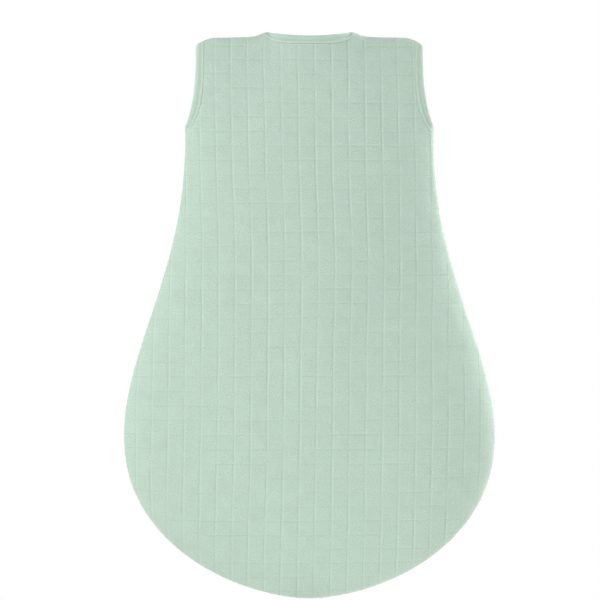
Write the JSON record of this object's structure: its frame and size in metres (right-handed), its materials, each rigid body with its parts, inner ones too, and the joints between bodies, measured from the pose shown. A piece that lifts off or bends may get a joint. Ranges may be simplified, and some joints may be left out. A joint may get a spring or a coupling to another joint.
{
  "type": "baby sleeping bag",
  "caption": "Sleeveless pear-shaped muslin sleeping bag for a baby, worn from shoulders past the feet, with bound neck and armholes and a two-way front zip.",
  "frame": {"origin": "top of the shoulders, in the middle, on the plane of the side seams (mount shoulders)", "axes": "+Z towards the neck, +Y towards the zipped front, -Y towards the plain back, +X towards the wearer's right arm"},
  "size_m": [0.4558, 0.0734, 0.6999],
  "materials": {
    "muslin": "crinkled double-gauze cotton muslin with a woven windowpane",
    "lining": "soft cotton muslin",
    "binding": "bias-cut muslin, folded and stitched",
    "overlock": "overlocked seam allowance",
    "tape": "woven polyester herringbone tape",
    "teeth": "moulded acetal, satin",
    "slider": "die-cast zinc, satin nickel",
    "label": "blank woven satin ribbon"
  },
  "bodies": {
    "root": {"back_outer": "muslin", "back_lining": "lining", "front_left_outer": "muslin", "front_right_outer": "muslin", "front_left_lining": "lining", "front_right_lining": "lining", "neck_binding": "binding", "armhole_binding_left": "binding", "armhole_binding_right": "binding", "hem_seam": "overlock", "shoulder_seam_left": "overlock", "shoulder_seam_right": "overlock", "zip_tape_left_lower": "tape", "zip_tape_right_lower": "tape", "zip_teeth_left_lower": "teeth", "zip_teeth_right_lower": "teeth", "zip_bottom_stops": "teeth", "zip_guard_lower": "lining"},
    "lapel_left": {"lapel_left_outer": "muslin", "lapel_left_lining": "lining", "neck_binding_end_left": "binding", "zip_tape_left_upper": "tape", "zip_teeth_left_upper": "teeth", "zip_top_stop_left": "teeth", "zip_guard_upper": "lining"},
    "lapel_right": {"lapel_right_outer": "muslin", "lapel_right_lining": "lining", "neck_binding_end_right": "binding", "zip_tape_right_upper": "tape", "zip_teeth_right_upper": "teeth", "zip_top_stop_right": "teeth"},
    "zip_slider_top": {"top_slider_body": "slider", "top_slider_bridge": "slider", "top_slider_lock": "slider"},
    "zip_pull_top": {"top_pull_tab": "slider"},
    "zip_slider_bottom": {"bottom_slider_body": "slider", "bottom_slider_bridge": "slider", "bottom_slider_lock": "slider"},
    "zip_pull_bottom": {"bottom_pull_tab": "slider"},
    "chin_flap": {"chin_guard": "muslin"},
    "loop": {"hanger_loop": "tape"},
    "neck_label": {"size_label": "label"},
    "side_label": {"care_label": "label"}
  },
  "joints": [
    {"name": "zip_top_slide", "type": "slide", "parent": "root", "child": "zip_slider_top", "axis": [0, 0, -1], "range_m": [0, 0.392]},
    {"name": "zip_top_pull_swing", "type": "hinge", "parent": "zip_slider_top", "child": "zip_pull_top", "pos_m": [0, 0.0288, -0.076], "axis": [1, 0, 0], "range_deg": [0, 150]},
    {"name": "zip_bottom_slide", "type": "slide", "parent": "root", "child": "zip_slider_bottom", "axis": [0, 0, 1], "range_m": [0, 0.13], "deforming": ["zip_teeth_left_lower", "zip_teeth_right_lower"]},
    {"name": "zip_bottom_pull_swing", "type": "hinge", "parent": "zip_slider_bottom", "child": "zip_pull_bottom", "pos_m": [0, 0.0288, -0.655], "axis": [1, 0, 0], "range_deg": [0, 150]},
    {"name": "lapel_left_fold", "type": "hinge", "parent": "root", "child": "lapel_left", "pos_m": [0, 0.0262, -0.48], "axis": [-0.0924, 0, 0.9957], "range_deg": [0, 150], "deforming": ["zip_teeth_left_upper", "zip_tape_left_upper", "zip_guard_upper"]},
    {"name": "lapel_right_fold", "type": "hinge", "parent": "root", "child": "lapel_right", "pos_m": [0, 0.0262, -0.48], "axis": [-0.0924, 0, -0.9957], "range_deg": [0, 150], "deforming": ["zip_teeth_right_upper", "zip_tape_right_upper"]},
    {"name": "chin_guard_fold", "type": "hinge", "parent": "lapel_left", "child": "chin_flap", "pos_m": [-0.0095, 0.02795, -0.0652], "axis": [0, 0, 1], "range_deg": [0, 172]},
    {"name": "hanger_loop_swing", "type": "hinge", "parent": "root", "child": "loop", "pos_m": [0, -0.0168, -0.0175], "axis": [1, 0, 0], "range_deg": [0, 150]},
    {"name": "size_label_swing", "type": "hinge", "parent": "root", "child": "neck_label", "pos_m": [0, -0.0168, -0.0175], "axis": [1, 0, 0], "range_deg": [0, 150]},
    {"name": "care_label_swing", "type": "hinge", "parent": "root", "child": "side_label", "pos_m": [-0.179, 0.00084, -0.34], "axis": [0.3096, 0, 0.9509], "range_deg": [-30, 30]}
  ],
  "couplings": [
    {"joint": "lapel_left_fold", "follows": "zip_top_slide", "rad_per_m": 6.6779},
    {"joint": "lapel_right_fold", "follows": "zip_top_slide", "rad_per_m": 6.6779}
  ]
}
